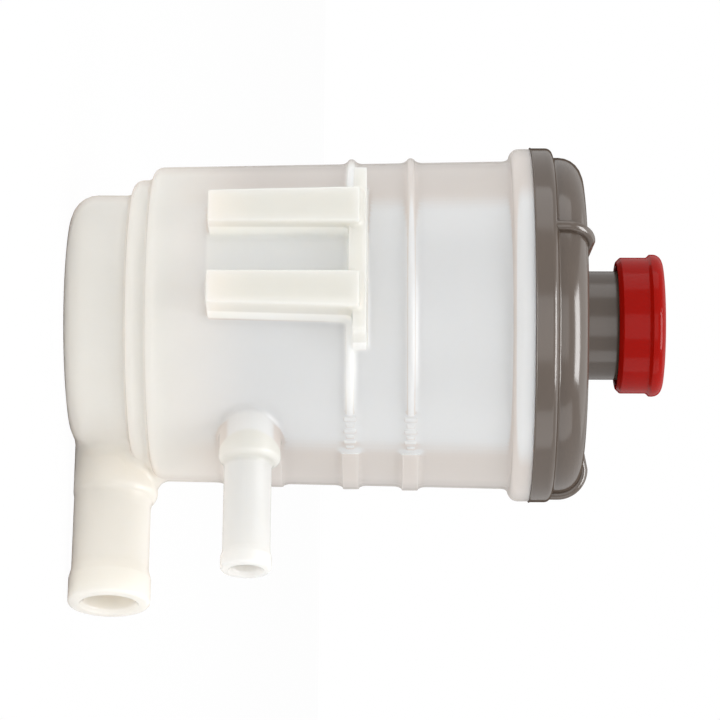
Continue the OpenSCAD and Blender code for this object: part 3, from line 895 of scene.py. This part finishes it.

# %% Mix the tones, the painted shade and the painted light of the tank
# painted shade: a darker, warmer colour where the wall is seen at a slant
SLANT_PAINTED_SHADE = (0.66, 0.605, 0.565, 1)
# painted light: a paler colour that lifts the shade in the slot behind the rails
SLOT_PAINTED_LIGHT = (0.94, 0.93, 0.885, 1)
SOLID_TONE = (0.745, 0.735, 0.685, 1)
# painted light: a paler colour on the thin tubes that lifts their shade
TUBE_PAINTED_LIGHT = (0.85, 0.83, 0.785, 1)
# the lower part's own warm tint, made brighter than the wall as painted light that lifts the
# shade near the floor and round the outlet
LOW_WARM_TINT_AND_LIGHT = (0.96, 0.87, 0.78, 1)
RIM_SHADE = 0.65
SLANT_FADE = (0.27, 0.42)
RIM_FADE = (0.68, 0.95)
facing = add(tree, "ShaderNodeLayerWeight", [("Blend", 0.5)])
slant = add(tree, "ShaderNodeMapRange", [
    ("Value", facing.outputs["Facing"]), ("From Min", SLANT_FADE[0]),
    ("From Max", SLANT_FADE[1])],
    interpolation_type="SMOOTHSTEP")
rim = add(tree, "ShaderNodeMapRange", [
    ("Value", facing.outputs["Facing"]), ("From Min", RIM_FADE[0]), ("From Max", RIM_FADE[1]),
    ("To Min", 1.0), ("To Max", RIM_SHADE)])
# mixes in, one after the other, the painted shade at a slant, the painted light in the slot, the
# rails' yellow, the painted light on the tubes, and the lower part's warm tint with its painted
# light
for share, other in ((slant.outputs[0], SLANT_PAINTED_SHADE), (zone.outputs["Between"], SLOT_PAINTED_LIGHT),
                     (zone.outputs["Far"], SOLID_TONE), (zone.outputs["Tube"], TUBE_PAINTED_LIGHT),
                     (zone.outputs["Low"], LOW_WARM_TINT_AND_LIGHT)):
    mixed = add(tree, "ShaderNodeMix", [("Factor", share), (6, tone), (7, other)],
                data_type="RGBA")
    tone = mixed.outputs[2]
shaded = add(tree, "ShaderNodeVectorMath", [(0, tone), ("Scale", rim.outputs[0])],
             operation="SCALE")
tree.links.new(shaded.outputs[0], shader.inputs["Base Color"])
print(milky.name, len(tree.nodes), "nodes")

# %% [markdown]
# Dress every piece
#
# Each modelled piece takes the place of its CAD node. The small parts inside keep their CAD
# shape, because turned rings and pressed discs are already right there, and only get a finish.
# A finished piece is smoothed, takes its material and is tied to the body that it moves with.

# %% A helper for finished pieces
SMOOTH_ANGLE = 30


def finish_piece(obj, body, slot, material, *nodes):
    """Smooths a finished piece, gives it its material, and ties it to the frame."""
    bpy.ops.object.select_all(action="DESELECT")
    obj.select_set(True)
    bpy.context.view_layer.objects.active = obj
    bpy.ops.object.shade_smooth_by_angle(angle=math.radians(SMOOTH_ANGLE))
    obj.data.materials.clear()
    obj.data.materials.append(material)
    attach(obj, body)
    if nodes:
        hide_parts(*nodes)
    print(obj.name, len(obj.data.polygons), "faces")
    return obj


# %% Dress the pieces and the CAD nodes
finish_piece(tank, "tank", "tank_plastic", milky, "tank_body")
finish_piece(cover, "tank", "cover_plastic", grey, "tank_cover")
finish_piece(cap, "cap", "cap_plastic", red, "filler_cap")
NODE_FINISH = {"cap_insert": black, "cap_seal": rubber, "breather_disc": felt,
               "strainer_frame": nylon, "strainer_mesh": weave, "baffle_plate": nylon}
for node, material in NODE_FINISH.items():
    frame["nodes"][node].data.materials.clear()
    frame["nodes"][node].data.materials.append(material)
print("kept CAD nodes:", ", ".join(NODE_FINISH))

# %% [markdown]
# The camera
#
# The photograph shows the reservoir lying on its side in the picture, but it is only the
# camera that is turned: the tank's axis runs to the right. The camera looks almost level,
# from a little less than a metre away, and its up direction lies in the floor's plane.

# %% Set up the camera
AZIMUTH = math.radians(22.8)
ELEVATION = math.radians(0.4)
ROLL = math.radians(0.15)
DISTANCE = 800 * MM
LOOK_HEIGHT = 70 * MM
LOOK_SHIFT = 8.55 * MM
LENS = 164
CLIP_START = 10 * MM
picture_up = Vector((-math.cos(AZIMUTH), -math.sin(AZIMUTH), 0))
level_back = Vector((math.sin(AZIMUTH), -math.cos(AZIMUTH), 0))
back = level_back * math.cos(ELEVATION) + Vector((0, 0, math.sin(ELEVATION)))
look_at = Vector((0, 0, LOOK_HEIGHT)) - picture_up * LOOK_SHIFT
bpy.ops.object.camera_add(location=look_at + back * DISTANCE)
camera = bpy.context.object
right = picture_up.cross(back).normalized()
turned = Matrix((right, back.cross(right), back)).transposed()
camera.matrix_world = Matrix.Translation(camera.location) @ turned.to_4x4() @ Matrix.Rotation(
    ROLL, 4, "Z")
camera.data.lens = LENS
camera.data.clip_start = CLIP_START
bpy.context.scene.camera = camera
print("camera at", [round(c, 3) for c in camera.location])

# %% [markdown]
# The floor
#
# A product picture like this one is taken in a light tent: white all round, with large soft
# panels. The floor is white paper. For the camera and in reflections it glows by itself, so
# that it is as white as the photograph's ground, and a little of its own shading shows.

# %% Make the floor
FLOOR_SIZE = 6.0
FLOOR_DROP = 0.05 * MM
FLOOR_WHITE = 0.97
FLOOR_PAPER = (0.90, 0.90, 0.90, 1)
FLOOR_ROUGH = 0.9
bpy.ops.object.select_all(action="DESELECT")
bpy.ops.mesh.primitive_plane_add(size=FLOOR_SIZE, location=(0, 0, -FLOOR_DROP))
floor = bpy.context.object
floor.name = "floor"
paper = bpy.data.materials.new("floor_paper")
paper.use_nodes = True
tree = paper.node_tree
surface = tree.nodes["Principled BSDF"]
surface.inputs["Base Color"].default_value = FLOOR_PAPER
surface.inputs["Roughness"].default_value = FLOOR_ROUGH
path = add(tree, "ShaderNodeLightPath")
seen = add(tree, "ShaderNodeMath", [
    (0, path.outputs["Is Camera Ray"]), (1, path.outputs["Is Glossy Ray"])],
    operation="MAXIMUM")
share = add(tree, "ShaderNodeMath", [(0, seen.outputs[0]), (1, FLOOR_WHITE)],
            operation="MULTIPLY")
white = add(tree, "ShaderNodeEmission", [("Color", (1, 1, 1, 1)), ("Strength", 1.0)])
blend = add(tree, "ShaderNodeMixShader", [
    (0, share.outputs[0]), (1, surface.outputs[0]), (2, white.outputs[0])])
tree.links.new(blend.outputs[0], tree.nodes["Material Output"].inputs["Surface"])
floor.data.materials.append(paper)
print("floor", FLOOR_SIZE, "m across")

# %% [markdown]
# The tent
#
# Light from all round keeps the milky tank's shadows faint. The tent is pure white where the
# camera or a reflection looks at it, but it lights the object with only part of that.

# %% Make the tent
AMBIENT = 0.52
world = bpy.context.scene.world or bpy.data.worlds.new("tent")
bpy.context.scene.world = world
world.use_nodes = True
tree = world.node_tree
backdrop = tree.nodes["Background"]
backdrop.inputs["Color"].default_value = (1, 1, 1, 1)
path = add(tree, "ShaderNodeLightPath")
seen = add(tree, "ShaderNodeMath", [
    (0, path.outputs["Is Camera Ray"]), (1, path.outputs["Is Transmission Ray"])],
    operation="MAXIMUM")
seen = add(tree, "ShaderNodeMath", [
    (0, seen.outputs[0]), (1, path.outputs["Is Glossy Ray"])], operation="MAXIMUM")
strength = add(tree, "ShaderNodeMapRange", [
    ("Value", seen.outputs[0]), ("To Min", AMBIENT), ("To Max", 1.0)])
tree.links.new(strength.outputs[0], backdrop.inputs["Strength"])
print("the tent lights with", AMBIENT)

# %% [markdown]
# The soft panels
#
# A large, weak panel in front lights the tank evenly, and the ones above, below and beyond
# the cap shape it. The main one stands to the cap's side. The last stands just in front of
# that one and is seen only in reflections: it draws the bright streaks on the cover and
# leaves the tank's level as it is.

# %% Place the panels
STEEP = 0.3


def panel(name, down, aside, distance, size, radiance):
    """A soft panel. down and aside are its angles from the camera's direction, in the picture."""
    down, aside = math.radians(down), math.radians(aside)
    towards = (level_back * math.cos(down) - picture_up * math.sin(down)) * math.cos(aside)
    towards += Vector((0, 0, math.sin(aside)))
    bpy.ops.object.light_add(type="AREA", location=look_at + towards * distance)
    lamp = bpy.context.object
    lamp.name = name
    across = Vector((0, 0, 1)) if abs(math.cos(aside)) > STEEP else picture_up
    side = across.cross(towards).normalized()
    lamp.matrix_world = Matrix.Translation(lamp.location) @ Matrix(
        (towards.cross(-side).normalized(), -side, towards)).transposed().to_4x4()
    lamp.data.shape = "RECTANGLE"
    lamp.data.size, lamp.data.size_y = size
    lamp.data.energy = radiance * math.pi * size[0] * size[1]
    return lamp


PANELS = {
    "panel_above": (-80, 0, 0.7, (0.80, 0.44), 1.3),
    "panel_below": (70, 0, 0.8, (1.1, 0.40), 1.3),
    "panel_front": (2, 0, 1.2, (1.0, 0.9), 1.4),
    "panel_main": (10, 60, 0.9, (0.38, 0.76), 2.7),
    "panel_over_cap": (0, 100, 0.9, (1.0, 1.0), 1.1),
    "panel_glint": (10, 60, 0.88, (0.37, 0.74), 10.0)}
lamps = {name: panel(name, *values) for name, values in PANELS.items()}
lamps["panel_glint"].visible_diffuse = False
bpy.context.scene.view_settings.view_transform = "Standard"
print("lights:", ", ".join(lamps))
